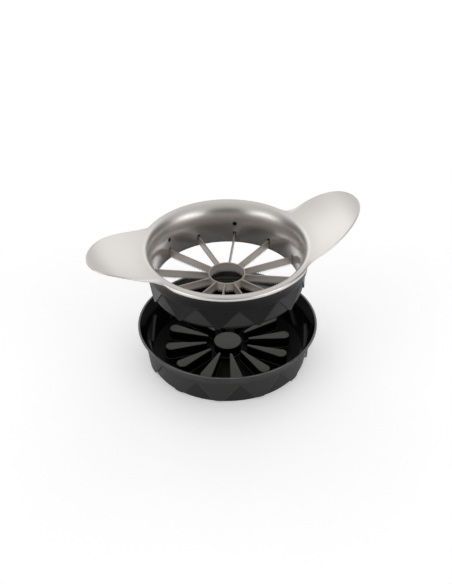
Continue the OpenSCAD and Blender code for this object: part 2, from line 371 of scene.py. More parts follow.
def steel(name, colors, rough, metallic):
    """Satin stainless steel with fine rings from polishing, faint smudges and slightly uneven gloss."""
    material, tree, shader, place = new_material(name)
    rings = noise(tree, ring_place(tree, place, RING_SCALE), 1.0, FINE)
    smudge = noise(tree, place, SMUDGE_SCALE, BROAD)
    dress(tree, shader, smudge, rings, colors, rough, STEEL_UNEVEN, RING_STRENGTH, RING_DEPTH)
    shader.inputs["Metallic"].default_value = metallic
    return material


def plastic(name, colors, rough, grain, specular):
    """Moulded plastic: a fine grain in the surface, faint clouding and uneven gloss."""
    material, tree, shader, place = new_material(name)
    cloud = noise(tree, place, CLOUD_SCALE, BROAD)
    fine = noise(tree, place, GRAIN_SCALE, FINE)
    dress(tree, shader, cloud, fine, colors, rough, PLASTIC_UNEVEN, grain, GRAIN_DEPTH)
    shader.inputs["Specular IOR Level"].default_value = specular
    return material


frame_steel = steel("frame_steel", (rgb(0.635, 0.61, 0.585), rgb(0.65, 0.625, 0.60)),
                    rough=0.3, metallic=0.88)
blade_steel = steel("blade_steel", (rgb(0.40, 0.36, 0.325), rgb(0.45, 0.405, 0.37)),
                    rough=0.42, metallic=0.6)
guard_plastic = plastic("guard_plastic", (grey(0.003), grey(0.0045)),
                        rough=0.27, grain=0.12, specular=0.13)
# The recess panels take a lighter copy of the guard's plastic: painted light on the panels, besides their
# rougher finish
guard_lit_panel = plastic("guard_lit_panel", (rgb(0.02, 0.02, 0.0195), rgb(0.026, 0.026, 0.025)),
                      rough=0.5, grain=0.4, specular=0.15)
tray_outside = plastic("tray_outside", (rgb(0.013, 0.013, 0.0125), rgb(0.017, 0.017, 0.016)),
                       rough=0.5, grain=0.4, specular=0.3)
# The tray's recess panels, inside and floor take darker copies of its outer plastic: painted shade in the
# recesses and inside the dish, besides their glossier finish
tray_panel = plastic("tray_panel", (rgb(0.006, 0.0058, 0.0062), rgb(0.009, 0.0088, 0.0092)),
                     rough=0.4, grain=0.2, specular=0.25)
tray_inside = plastic("tray_inside", (grey(0.0015), grey(0.0025)),
                      rough=0.1, grain=0.02, specular=0.45)
tray_lip = plastic("tray_lip", (grey(0.004), grey(0.006)),
                   rough=0.16, grain=0.02, specular=1.0)
tray_lip.node_tree.nodes["Principled BSDF"].inputs["IOR"].default_value = LIP_IOR
tray_floor = plastic("tray_floor", (grey(0.0012), grey(0.002)),
                     rough=0.4, grain=0.2, specular=0.06)
pad_plastic = plastic("pad_plastic", (rgb(0.05, 0.05, 0.047), rgb(0.07, 0.07, 0.066)),
                      rough=0.6, grain=0.6, specular=0.4)


# Steel frame: one pressed sheet, whose rolled rim opens out into the two handles

ANGLES = 576
WALL_ROWS = 9
FLARE_ROWS = 20
OUTER_ROWS = 30
LEAF_POINTS = 60
RISE_POINTS = 200
HOLE_SIDES = 32
# Rounding of the sheet's edge: its turns from the upper face to the lower one, and how far it bulges
EDGE_TURNS = (30, 60, 90, 120, 150)
EDGE_BULGE = 0.45
# Angles from the handle axis between which the roll opens, beside the short edge and beside the long one
SHORT_OPEN = (15.5, 32.5)
LONG_OPEN = (41.0, 57.0)
# Slope at which the flare runs out into the handles, how far their rise keeps its ends' directions, and how
# far it is drawn past the tip
ROOT_SLOPE = math.tan(math.radians(14))
RISE_ROOT_BOW = 18.0
RISE_TIP_BOW = (19.0, 1.5)
RISE_OVER = 1.0
# Gap beside a tab in its slot, which the photo shows wider than the gap below it
SLOT_SIDE = 0.7
# Spare reach of the cutting shapes past the wall that they cut
CUT_OVER = 1.0


def leaf_outline():
    """Plan outline of the handle towards +X, from its short edge's root round to its long edge's root."""
    tip = np.array([HANDLE_REACH, TIP_SIDE])
    short = np.array([RIM_R + SHORT_OUT, SHORT_EDGE])
    long = np.array([RIM_R - LONG_IN, -LONG_EDGE])
    short_end = polar(RIM_R, SHORT_ROOT)
    long_end = polar(RIM_R, -LONG_ROOT)
    runs = [
        [short_end, short_end + polar(ROOT_BOW, SHORT_ROOT - 90), short - SHORT_ROOT_BOW, short],
        [short, short + SHORT_BOW, tip + TIP_BOW, tip],
        [tip, tip - TIP_BOW, long + LONG_BOW, long],
        [long, long - LONG_ROOT_BOW, long_end + polar(ROOT_BOW, 90 - LONG_ROOT), long_end],
    ]
    return np.concatenate([cubic(run, LEAF_POINTS) for run in runs])


def from_handle(angles):
    """Angles from the axis of the nearer handle."""
    return (angles + 90) % 180 - 90


def handle_reach(angles):
    """How far out the sheet goes at each angle."""
    leaf = leaf_outline()
    turn = np.degrees(np.arctan2(leaf[:, 1], leaf[:, 0]))
    far = np.hypot(leaf[:, 0], leaf[:, 1])
    order = np.argsort(turn)
    return np.interp(from_handle(angles), turn[order], far[order], left=RIM_R, right=RIM_R)


def roll_opening(angles):
    """How far the roll is opened out into a handle at each angle, from 0 to 1."""
    aside = from_handle(angles)
    short = smooth_step((SHORT_OPEN[1] - aside) / (SHORT_OPEN[1] - SHORT_OPEN[0]))
    long = smooth_step((LONG_OPEN[1] + aside) / (LONG_OPEN[1] - LONG_OPEN[0]))
    return short * long


def flare_at(t):
    """Radius and height of the flare's inner face."""
    return BORE_R + FLARE_W * (1 - math.cos(t)), FLARE_Z + FLARE_H * math.sin(t)


def upper_face(angles):
    """Points of the sheet's upper face, row by row from the wall's lower edge outward."""
    reach = handle_reach(angles) - EDGE_BULGE
    opened = roll_opening(angles)
    leave = math.atan(FLARE_H / (FLARE_W * ROOT_SLOPE))
    leave_r, leave_z = flare_at(leave)

    def straight(r):
        """Height of the straight run from the flare into a handle."""
        return leave_z + (r - leave_r) * ROOT_SLOPE

    start = np.array([CREST_R, straight(CREST_R)])
    end = np.array([HANDLE_REACH + RISE_OVER, CREST_Z + HANDLE_RISE])
    root = start + RISE_ROOT_BOW * np.array([1, ROOT_SLOPE])
    rise = cubic([start, root, end - RISE_TIP_BOW, end], RISE_POINTS)
    rows = []
    for z in np.linspace(WALL_Z + EDGE_BULGE, FLARE_Z, WALL_ROWS):
        rows.append((np.full(ANGLES, BORE_R), np.full(ANGLES, z)))
    for t in np.radians(np.linspace(0, 90, FLARE_ROWS + 1)[1:]):
        r, z = flare_at(t)
        raised = straight(r) - z if t > leave else 0.0
        rows.append((np.full(ANGLES, r), z + opened * raised))
    for u in np.linspace(0, 1, OUTER_ROWS + 1)[1:]:
        turn = math.radians(90 - (90 + ROLL_UNDER) * u)
        roll_r = CREST_R + ROLL_R * math.cos(turn)
        roll_z = CREST_Z - ROLL_R + ROLL_R * math.sin(turn)
        out_r = CREST_R + u * (reach - CREST_R)
        out_z = np.interp(out_r, rise[:, 0], rise[:, 1])
        rows.append((roll_r + opened * (out_r - roll_r), roll_z + opened * (out_z - roll_z)))
    return polar_points(np.array([[*zip(angles, r, z)] for r, z in rows]))


def frame_mesh():
    """The sheet with its thickness and its rounded edges, before slots and holes."""
    top = upper_face(np.linspace(0, 360, ANGLES, endpoint=False))
    outward = np.gradient(top, axis=0)
    around = np.roll(top, -1, 1) - np.roll(top, 1, 1)
    normal = np.cross(outward, around)
    normal /= np.linalg.norm(normal, axis=2, keepdims=True)
    under = top - SHEET * normal

    def edge(i, beside):
        """Rows round the sheet's edge at row i, away from the row beside it."""
        way = top[i] - top[beside]
        way /= np.linalg.norm(way, axis=1, keepdims=True)
        middle = (top[i] + under[i]) / 2
        half = (top[i] - under[i]) / 2
        turns = np.radians(EDGE_TURNS)
        return [middle + math.cos(a) * half + math.sin(a) * EDGE_BULGE * way for a in turns]

    sheet = [*top, *edge(-1, -2), *under[::-1], *edge(0, 1)[::-1]]
    return make_mesh("steel_frame_sheet", np.concatenate(sheet), loop_faces(len(sheet), ANGLES))


def pin_ring(angle, x, radius, sides):
    """Points round the axis of the pin at an angle, at a distance from the middle of the slicer."""
    turn = turned(angle)
    around = 2 * math.pi * np.arange(sides) / sides
    return [turn @ (x, radius * math.cos(a), PIN_Z + radius * math.sin(a)) for a in around]


def frame_cutter():
    """Slots for the blades' tabs and holes for the pins."""
    points, faces = [], []
    ends = (BORE_R - CUT_OVER, WALL_R + CUT_OVER)
    half = BLADE_T / 2 + SLOT_SIDE
    low = BLADE_TOP_Z - TAB_H - SLOT_GAP
    high = BLADE_TOP_Z + SLOT_UP
    corners = ((-half, low), (half, low), (half, high), (-half, high))
    for i in range(SEGMENTS):
        turn = turned(i * STEP)
        faces += stack_faces(len(ends), len(corners), len(points))
        points += [turn @ (x, y, z) for x in ends for y, z in corners]
    for angle in PIN_ANGLES:
        faces += stack_faces(len(ends), HOLE_SIDES, len(points))
        for x in ends:
            points += pin_ring(angle, x, PIN_R + FIT_GAP, HOLE_SIDES)
    return make_mesh("frame_cutter", points, faces)


add_piece("steel_frame_sheet", cut(frame_mesh(), frame_cutter()), [frame_steel],
          "slicer", ["steel_frame"])


# Blades and core ring, ground thin at their serrated edges

GRIND_H = 2.4
EDGE_T = 0.3
CORNER = 0.22
# One cutting tooth: shares of its pitch and of its depth
TOOTH_SHAPE = ((0.0, 1), (0.2, 1), (0.5, 0), (0.8, 1))
# Lines of points from a tip of the core ring's teeth to the next gap
CORE_LINES = 3
# A blade is set this far into the core ring, and narrows to its tab over a short run
BLADE_SET = 0.02
TAB_RUN = 0.03
STEEL_SHARP = 5


def blade_profile(low, ground, thin):
    """The blade's outline across, from its lower edge up one side and down the other."""
    thick, thin = BLADE_T / 2, thin / 2
    return [(thin, low), (thick, ground), (thick, BLADE_TOP_Z - CORNER), (thick - CORNER, BLADE_TOP_Z),
            (CORNER - thick, BLADE_TOP_Z), (-thick, BLADE_TOP_Z - CORNER), (-thick, ground), (-thin, low)]


def blade_mesh(name, index):
    """One blade from the core ring to its tab in the wall."""
    pitch = (BORE_R - CORE_R) / BLADE_TEETH
    tab_z = BLADE_TOP_Z - TAB_H
    tab = blade_profile(tab_z, tab_z + CORNER, BLADE_T - 2 * CORNER)
    lines = []
    for k in range(BLADE_TEETH):
        for share, raised in TOOTH_SHAPE:
            low = BLADE_Z + raised * TOOTH_DEPTH
            lines.append((CORE_R - BLADE_SET + (k + share) * pitch,
                          blade_profile(low, BLADE_Z + GRIND_H, EDGE_T)))
    wall_x = BORE_R - BLADE_SET
    lines.append((wall_x, blade_profile(BLADE_Z + TOOTH_DEPTH, BLADE_Z + GRIND_H, EDGE_T)))
    lines += [(wall_x + TAB_RUN, tab), (WALL_R - BLADE_SET, tab)]
    points = np.array([(x, y, z) for x, line in lines for y, z in line])
    return make_mesh(name, points @ turned(index * STEP).T, stack_faces(len(lines), len(tab)))


def core_mesh():
    """The round cutter, whose teeth point down."""
    columns = 2 * CORE_TEETH * CORE_LINES
    inner = CORE_R - CORE_WALL
    middle = (CORE_R + inner) / 2
    ground = BLADE_Z + GRIND_H
    lines = []
    for k in range(columns):
        low = BLADE_Z + TOOTH_DEPTH * abs((k / CORE_LINES) % 2 - 1)
        lines.append([(360 * k / columns, r, z) for r, z in (
            (middle + EDGE_T / 2, low), (CORE_R, ground), (CORE_R, CORE_TOP_Z - CORNER),
            (CORE_R - CORNER, CORE_TOP_Z), (inner + CORNER, CORE_TOP_Z), (inner, CORE_TOP_Z - CORNER),
            (inner, ground), (middle - EDGE_T / 2, low))])
    points = polar_points(np.array(lines)).reshape(-1, 3)
    return make_mesh("core_cutter", points, loop_faces(columns, len(lines[0])))


for i in range(SEGMENTS):
    label = "%02d" % (i + 1)
    add_piece("blade_strip_" + label, blade_mesh("blade_strip_" + label, i), [blade_steel],
              "slicer", ["blade_" + label], STEEL_SHARP)
add_piece("core_cutter", core_mesh(), [blade_steel], "slicer", ["core_ring"], STEEL_SHARP)


# Rings of teeth: each segment is a tooth between two half recesses

TOOTH_LINES = 7
RECESS_LINES = 4
TOOTH_ROUND = 0.3
ROUND_TURNS = (0, 45, 90)
RING_SHARP = 30


@dataclass
class Teeth:
    """One face of a toothed ring: the recesses lie a step inside its radius, and the teeth follow its face.

    radius takes a height, and face an angle from the tooth's middle and a height. A recess is recess_w wide
    each way at the foot and closes at the apex. The lowest points of teeth and recesses are given apart.
    """

    radius: Callable
    face: Callable
    recess_w: float
    foot: float
    apex: float
    step: float
    low_tooth: float
    low_recess: float
    tip_round: float = 0.0
    tip_w: float = 0.0

    def half(self, z):
        """Half the width of the recess at a height."""
        return self.recess_w * max(0.0, (self.apex - z) / (self.apex - self.foot))

    def edge(self, z):
        """Angle from the middle of the tooth to the edge of the recess at a height."""
        return HALF - math.degrees(math.asin(self.half(z) / self.radius(z)))

    def height(self, low, share, lift):
        """Height at a share of the way from a lifted lowest point to the apex."""
        low += lift
        return low + share * (self.apex - low)

    def tooth_low(self, side):
        """Lowest point of the tooth at a share of the way to its side, where its tip is rounded."""
        if not self.tip_round:
            return self.low_tooth
        past = max(0.0, (side - 1) * self.tip_w / 2 + self.tip_round) / self.tip_round
        return self.low_tooth + self.tip_round * (1 - math.sqrt(max(0.0, 1 - past * past)))

    def row(self, share, lift=0.0, inset=0.0):
        """Angle, radius and height of half a segment's points, from the tooth's middle to the recess's."""
        points = []
        for k in range(TOOTH_LINES + 1):
            side = k / TOOTH_LINES
            z = self.height(self.tooth_low(side), share, lift)
            curve = min(TOOTH_ROUND, self.half(z) / 2)
            angle = side * (self.edge(z) - math.degrees(curve / self.radius(z)))
            points.append((angle, self.face(angle, z) - inset, z))
        edge, radius = self.edge(z), self.radius(z)
        for turn in np.radians(ROUND_TURNS[1:]):
            angle = edge - math.degrees(curve * (1 - math.sin(turn)) / radius)
            fall = min(self.step, curve) * (1 - math.cos(turn))
            points.append((angle, self.face(edge, z) - fall - inset, z))
        z = self.height(self.low_recess, share, lift)
        edge, radius = self.edge(z), self.radius(z)
        curve = min(TOOTH_ROUND, self.half(z) / 2, self.step)
        for turn in np.radians(ROUND_TURNS):
            angle = edge + math.degrees(curve * (1 - math.cos(turn)) / radius)
            points.append((angle, radius - self.step + curve * (1 - math.sin(turn)) - inset, z))
        start = points[-1][0]
        for k in range(1, RECESS_LINES + 1):
            points.append((start + (HALF - start) * k / RECESS_LINES, radius - self.step - inset, z))
        return points


def plain_row(radius, z):
    """Half a segment's points above the recesses."""
    return [(HALF * k / TOOTH_LINES, radius, z) for k in range(TOOTH_LINES + 1)]


def scaled_row(row, share, z):
    """A row drawn in towards the axis at one height."""
    return [(angle, radius * share, z) for angle, radius, _ in row]


def round_row(row, radius, z):
    """A row with its angles kept, at one radius and height."""
    return [(angle, radius, z) for angle, _, _ in row]


def recess_width(radius, tip_w):
    """Half the width of a recess at the foot, between two teeth that are tip_w wide there."""
    return (2 * math.pi * radius / SEGMENTS - tip_w) / 2


def ring_mesh(name, rows, closed):
    """A mesh from half-segment rows, mirrored and repeated round the axis. Plain rows are shorter."""
    points, first, reach = [], [], []
    for row in rows:
        first.append(len(points))
        reach.append(len(row) - 1)
        mirrored = [(-a, r, z) for a, r, z in row[:0:-1]] + list(row)
        for i in range(SEGMENTS):
            points += [(a + i * STEP, r, z) for a, r, z in mirrored]
    faces = []
    for a in range(len(rows) if closed else len(rows) - 1):
        b = (a + 1) % len(rows)
        shared = min(reach[a], reach[b])
        for i in range(SEGMENTS):
            at_a = first[a] + i * (2 * reach[a] + 1) + reach[a]
            at_b = first[b] + i * (2 * reach[b] + 1) + reach[b]
            faces += [(at_a + k, at_a + k + 1, at_b + k + 1, at_b + k) for k in range(-shared, shared)]
    return make_mesh(name, polar_points(points), faces)


# Guard ring under the rim

GUARD_ROUND = 0.35
GUARD_TIP_ROUND = 1.0
GUARD_ROWS = 12
COLLAR_ROWS = 12
FOLLOW_ROWS = 8
INNER_ROWS = 4
# At the recesses' points the flat teeth turn into the round collar: how far they stay inside it at most,
# and how far out and up its first row lies
APEX_DIP = 0.15
APEX_OUT = 0.02
APEX_UP = 0.2
# How far below its top the collar's curve is drawn outward
COLLAR_BOW = 1.0
# How far the skirt under the recesses leans out over its height
SKIRT_LEAN = 0.05
# Place among the guard's materials of the recesses' lighter plastic, which is painted light on the panels
# besides their rougher finish
GUARD_LIT_PANEL = 1


def guard_radius(z):
    """Radius of the cone that the guard's teeth lie on."""
    share = (z - TIP_Z) / (GUARD_SHOULDER_Z - TIP_Z)
    return GUARD_TIP_R + share * (GUARD_SHOULDER_R - GUARD_TIP_R)


def guard_face(angle, z):
    """Radius of a guard tooth, whose upper part is flat."""
    return min(guard_radius(z), GUARD_FACE_X / math.cos(math.radians(angle)))


def collar_rows():
    """Rows of the guard's collar, from the points of the recesses out to its top and in along the flare."""
    small = ROUND_MIDDLE * GUARD_ROUND
    reach = GUARD_COLLAR_R - GUARD_SHOULDER_R
    face = cubic([[GUARD_SHOULDER_R, GUARD_SHOULDER_Z],
                  [GUARD_SHOULDER_R, (GUARD_SHOULDER_Z + GUARD_TOP_Z) / 2],
                  [GUARD_SHOULDER_R + reach / 3, GUARD_TOP_Z - COLLAR_BOW],
                  [GUARD_COLLAR_R, GUARD_TOP_Z - GUARD_ROUND]], COLLAR_ROWS)
    rows = [plain_row(guard_radius(GUARD_APEX_Z) + APEX_OUT, GUARD_APEX_Z + APEX_UP)]
    rows += [plain_row(r, z) for r, z in face]
    rows.append(plain_row(GUARD_COLLAR_R - small, GUARD_TOP_Z - small))
    rows.append(plain_row(GUARD_COLLAR_R - GUARD_ROUND, GUARD_TOP_Z))
    for t in np.linspace(math.asin((GUARD_TOP_Z - FLARE_Z) / FLARE_H), 0, FOLLOW_ROWS):
        r, z = flare_at(t)
        way = np.array([FLARE_H * math.cos(t), -FLARE_W * math.sin(t)])
        way *= (SHEET + FIT_GAP) / np.linalg.norm(way)
        rows.append(plain_row(r + way[0], min(GUARD_TOP_Z, z + way[1])))
    return rows


def guard_mesh():
    """The guard: teeth outside, the collar, the bore and the skirt that covers the wall's lower edge."""
    common = (recess_width(GUARD_TIP_R, GUARD_TIP_W), TIP_Z, GUARD_APEX_Z)
    outside = Teeth(guard_radius, guard_face, *common, GUARD_STEP, TIP_Z, GUARD_EDGE_Z,
                    GUARD_TIP_ROUND, GUARD_TIP_W)
    inside = Teeth(lambda z: GUARD_BORE_R, lambda angle, z: GUARD_BORE_R, *common, 0.0, TIP_Z, TIP_Z)
    skirt = [Teeth(lambda z: GUARD_SKIRT_R, lambda angle, z: GUARD_SKIRT_R, *common, 0.0, TIP_Z, low)
             for low in (TIP_Z, GUARD_EDGE_Z)]
    small = ROUND_MIDDLE * GUARD_ROUND
    rows = [outside.row(0, 0, GUARD_ROUND), outside.row(0, small, small)]
    rows += [outside.row(share, GUARD_ROUND) for share in np.linspace(0, 1, GUARD_ROWS)]
    least = guard_radius(GUARD_APEX_Z) - APEX_DIP
    rows.append([(a, max(least, r), GUARD_APEX_Z) for a, r, _ in rows[-1][:TOOTH_LINES + 1]])
    rows += collar_rows()
    rows += [inside.row(share, GUARD_ROUND) for share in np.linspace(1, 0, INNER_ROWS)]
    rows += [inside.row(0, small, -small), inside.row(0, 0, -GUARD_ROUND)]
    rows += [skirt[0].row(0), skirt[1].row(0, 0, -SKIRT_LEAN)]
    mesh = ring_mesh("guard_teeth", rows, True)
    for face in mesh.polygons:
        middle = face.center / MM
        aside = abs((math.degrees(math.atan2(middle.y, middle.x)) + HALF) % STEP - HALF)
        outward = Vector((middle.x, middle.y, 0)).dot(face.normal) > 0
        panel = outward and math.hypot(middle.x, middle.y) > GUARD_SKIRT_R + 2 * SKIRT_LEAN
        if panel and middle.z < GUARD_APEX_Z and aside > outside.edge(middle.z):
            face.material_index = GUARD_LIT_PANEL
    return mesh


add_piece("guard_teeth", guard_mesh(), [guard_plastic, guard_lit_panel],
          "slicer", ["guard_ring"], RING_SHARP)


# Pins through the wall into the guard

PIN_SIDES = 24
# Points of a pin's rounded head: their radius and how far outside the bore they lie
PIN_HEAD = ((0.0, 0.04), (1.1, 0.04), (1.4, 0.1), (1.54, 0.25), (PIN_R, 0.5))


def pin_mesh():
    """The four pins, from their heads in the wall to their ends in the guard."""
    points, faces = [], []
    line = [*PIN_HEAD, (PIN_R, SHEET + PIN_BITE), (0.0, SHEET + PIN_BITE)]
    for angle in PIN_ANGLES:
        faces += loop_faces(len(line), PIN_SIDES, False, len(points))
        for r, x in line:
            points += pin_ring(angle, BORE_R + x, r, PIN_SIDES)
    return make_mesh("guard_studs", points, faces)


add_piece("guard_studs", pin_mesh(), [guard_plastic], "slicer", ["guard_pins"])


# Tray

FOOT_ROUND = 0.4
TRAY_TIP_ROUND = 1.2
FLOOR_ROUND = 0.6
LIP_ROUND = 0.25
LIP_TURN = 30
# How far the lip stands out over the band under it, and inset and height of the points at its lower edge
LIP_PROUD = 0.25
LIP_EDGE = ((0.06, 0.03), (0.0, 0.12))
TRAY_ROWS = 14
BAND_ROWS = 14
BAND_POINTS = 60
# Shares of the radius at which the floor and the underside have rows
DISC_SHARES = (0.0, 0.5, 0.85)
# Faces of the lip that turn upward, and faces that lie level, by the height of their normals
LIP_UPWARD = 0.2
LEVEL = 0.9
# How far above the ledge the floor's material still goes
LEDGE_SPARE = 0.1
# Places of the tray's materials; the inside, bottom and panel ones are darker copies that paint shade
# inside the dish and in the recesses
TRAY_OUTSIDE, TRAY_INSIDE, TRAY_BOTTOM, TRAY_PANEL, TRAY_LIP = range(5)


def tray_band():
    """Radius and height along the flared band above the teeth."""
    low = np.array([TRAY_SHOULDER_R, TRAY_SHOULDER_Z])
    high = np.array([TRAY_RIM_R, TRAY_LIP_Z])
    bow = (high - low)[1] / 3
    start = low + bow * np.array([TRAY_SLOPE, 1])
    end = high - bow * np.array([LIP_SLOPE, 1])
    return cubic([low, start, end, high], BAND_POINTS)


BAND = tray_band()


def tray_radius(z):
    """Radius of the tray's outer face."""
    if z < TRAY_SHOULDER_Z:
        return TRAY_BASE_R + TRAY_SLOPE * z
    return float(np.interp(z, BAND[:, 1], BAND[:, 0]))


def tray_inner_radius(z):
    """Radius of the tray's inner face."""
    return tray_radius(z) - TRAY_WALL


def tray_recess_radius(z):
    """Radius of the recesses between the tray's teeth."""
    return tray_radius(z) - TRAY_STEP


def tray_outer_rows(outside):
    """Rows of the tray's underside, foot and teeth, up to the points of the recesses."""
    def tip_row(lift, inset):
        """The teeth's lower edge, which never lies inside the recesses."""
        return [(a, max(r, tray_recess_radius(z)), z) for a, r, z in outside.row(0, lift, inset)]

    tip = outside.row(0)
    small = ROUND_MIDDLE * FOOT_ROUND
    foot = round_row(tip, tray_recess_radius(0) - FOOT_ROUND, 0.0)
    rows = [scaled_row(foot, share, 0.0) for share in DISC_SHARES]
    rows += [foot, round_row(tip, tray_recess_radius(0) - small, small),
             round_row(tip, tray_recess_radius(FOOT_ROUND), FOOT_ROUND)]
    rows.append([(a, tray_recess_radius(z), z) for a, _, z in tip])
    rows += [tip_row(0, FOOT_ROUND), tip_row(small, small)]
    return rows + [outside.row(share, FOOT_ROUND) for share in np.linspace(0, 1, TRAY_ROWS)]


def tray_rim_rows():
    """Rows of the flared band and of the lip with its rounded edges."""
    rows = []
    for z in np.linspace(TRAY_RECESS_H, TRAY_LIP_Z, BAND_ROWS)[1:]:
        under_lip = LIP_PROUD * smooth_step((z - TRAY_SHOULDER_Z) / (TRAY_LIP_Z - TRAY_SHOULDER_Z))
        rows.append(plain_row(tray_radius(z) - under_lip, z))
    rows += [plain_row(TRAY_RIM_R - inset, TRAY_LIP_Z + up) for inset, up in LIP_EDGE]
    outer_r = TRAY_RIM_R - LIP_ROUND
    inner_r = TRAY_RIM_R - TRAY_WALL + LIP_ROUND
    for middle_r, first, last in ((outer_r, 0, 90), (inner_r, 90, 180)):
        for a in np.radians(range(first, last + 1, LIP_TURN)):
            rows.append(plain_row(middle_r + LIP_ROUND * math.cos(a),
                                  TRAY_H - LIP_ROUND + LIP_ROUND * math.sin(a)))
    return rows


def tray_inner_rows(inside):
    """Rows of the tray's inside, from the lip down over the bosses to the middle of the floor."""
    heights = np.linspace(TRAY_LIP_Z, inside.apex, BAND_ROWS)[:-1]
    rows = [plain_row(tray_inner_radius(z), z) for z in heights]
    rows += [inside.row(share) for share in np.linspace(1, 0, TRAY_ROWS)]
    ledge = inside.row(0)
    ledge_r = tray_inner_radius(TRAY_LEDGE_Z) - TRAY_STEP
    small = ROUND_MIDDLE * FLOOR_ROUND
    rows += [round_row(ledge, ledge_r, TRAY_LEDGE_Z), round_row(ledge, ledge_r, TRAY_FLOOR + FLOOR_ROUND),
             round_row(ledge, ledge_r - small, TRAY_FLOOR + small)]
    floor = round_row(ledge, ledge_r - FLOOR_ROUND, TRAY_FLOOR)
    return rows + [floor] + [scaled_row(floor, share, TRAY_FLOOR) for share in DISC_SHARES[::-1]]


def tray_face_material(face):
    """Which of the tray's materials a face has."""
    middle = face.center / MM
    radius = math.hypot(middle.x, middle.y)
    inward = Vector((middle.x, middle.y, 0)).dot(face.normal) < 0
    above_tips = middle.z > TRAY_TIP_UP
    if middle.z > TRAY_LIP_Z and face.normal.z > LIP_UPWARD:
        return TRAY_LIP
    if above_tips and face.normal.z > LEVEL or inward and middle.z < TRAY_LEDGE_Z + LEDGE_SPARE:
        return TRAY_BOTTOM
    if above_tips and (inward or middle.z > TRAY_LIP_Z):
        return TRAY_INSIDE
    if middle.z < TRAY_RECESS_H and radius < tray_radius(middle.z) - TRAY_STEP / 2:
        return TRAY_PANEL
    return TRAY_OUTSIDE


def tray_mesh():
    """The dish. Behind each recess it has a boss that reaches a wall further to each side."""
    recess_w = recess_width(TRAY_BASE_R, TRAY_TIP_W)
    grow = 1 + TRAY_WALL / recess_w
    outside = Teeth(tray_radius, lambda angle, z: tray_radius(z), recess_w, 0.0, TRAY_RECESS_H, TRAY_STEP,
                    TRAY_TIP_UP, TRAY_TIP_UP, TRAY_TIP_ROUND, TRAY_TIP_W)
    inside = Teeth(tray_inner_radius, lambda angle, z: tray_inner_radius(z), recess_w * grow, 0.0,
                   TRAY_RECESS_H * grow, TRAY_STEP, TRAY_LEDGE_Z, TRAY_LEDGE_Z)
    rows = tray_outer_rows(outside) + tray_rim_rows() + tray_inner_rows(inside)
    mesh = ring_mesh("tray_dish", rows, False)
    for face in mesh.polygons:
        face.material_index = tray_face_material(face)
    return mesh


add_piece("tray_dish", tray_mesh(), [tray_outside, tray_inside, tray_floor, tray_panel, tray_lip],
          "tray", ["tray"], RING_SHARP)


# Pads on the tray floor

PAD_ROUND = 0.7
PAD_ROUND_TURNS = (30, 60, 90)
# A pad is sunk slightly into the floor, spreads at its foot and draws in towards its top
PAD_SUNK = 0.02
PAD_SPREAD = 0.25
PAD_DRAFT = 0.12
PAD_END_POINTS = 16
CENTRE_PAD_POINTS = 64
# Faces that count as a pad's top, by the height of their normals
PAD_UPWARD = 0.4
PAD_SHARP = 50
# Places of the pads' materials: their tops, and their sides, which take the tray floor's near-black plastic
# as painted shade
PAD_TOP, PAD_SHADE_SIDE = range(2)


def pad_levels():
    """Height and inset of a pad's outline at each level."""
    levels = [(TRAY_FLOOR - PAD_SUNK, -PAD_SPREAD), (TRAY_FLOOR + PAD_SPREAD, 0.0),
              (PAD_TOP_Z - PAD_ROUND, PAD_DRAFT)]
    for a in np.radians(PAD_ROUND_TURNS):
        levels.append((PAD_TOP_Z - PAD_ROUND * (1 - math.sin(a)),
                       PAD_DRAFT + PAD_ROUND * (1 - math.cos(a))))
    return levels


def drop_outline(inset):
    """Plan outline of one pad: two round ends with straight sides between them."""
    lean = math.degrees(math.acos((PAD_END_R - PAD_TIP_R) / (PAD_END_X - PAD_TIP_X)))
    line = []
    for x, r, low, high in ((PAD_END_X, PAD_END_R, -lean, lean), (PAD_TIP_X, PAD_TIP_R, lean, 360 - lean)):
        line += [polar(r - inset, a) + (x, 0) for a in np.linspace(low, high, PAD_END_POINTS)]
    return line


def centre_outline(inset):
    """Plan outline of the round pad in the middle."""
    return [polar(CENTRE_PAD_R - inset, a) for a in np.linspace(0, 360, CENTRE_PAD_POINTS, endpoint=False)]


def pad_mesh():
    """Twelve pads between the blades and one under the core ring, paler on top, with their sides painted
    near-black as shade.
    """
    points, faces = [], []
    levels = pad_levels()

    def stack(outline, turn):
        """Adds one pad, whose outline follows the levels."""
        lines = [outline(inset) for _, inset in levels]
        faces.extend(stack_faces(len(lines), len(lines[0]), len(points)))
        for line, (z, _) in zip(lines, levels):
            points.extend(turn @ (x, y, z) for x, y in line)

    for i in range(SEGMENTS):
        stack(drop_outline, turned((i + 0.5) * STEP))
    stack(centre_outline, np.eye(3))
    mesh = make_mesh("push_pads", points, faces)
    for face in mesh.polygons:
        face.material_index = PAD_TOP if face.normal.z > PAD_UPWARD else PAD_SHADE_SIDE
    return mesh


add_piece("push_pads", pad_mesh(), [pad_plastic, tray_floor],
          "tray", ["rest_pads"], PAD_SHARP)


# Floor, in metres

FLOOR_HALF = 6.0
FLOOR_DROP = 0.0002
FLOOR_ROUGH = 0.7
FLOOR_SPECULAR = 0.2
FLOOR_GLOW = 0.34


def floor_material():
    """Pale paper that glows a little, as an overexposed studio floor does."""
    material, tree, shader, place = new_material("floor_paper")
    color = blend_colors(tree, noise(tree, place, PAPER_SCALE, FINE), grey(0.86), grey(0.88))
    tree.links.new(color, shader.inputs["Base Color"])
    shader.inputs["Roughness"].default_value = FLOOR_ROUGH
    shader.inputs["Specular IOR Level"].default_value = FLOOR_SPECULAR
    shader.inputs["Emission Color"].default_value = grey(1.0)
    shader.inputs["Emission Strength"].default_value = FLOOR_GLOW
    return material


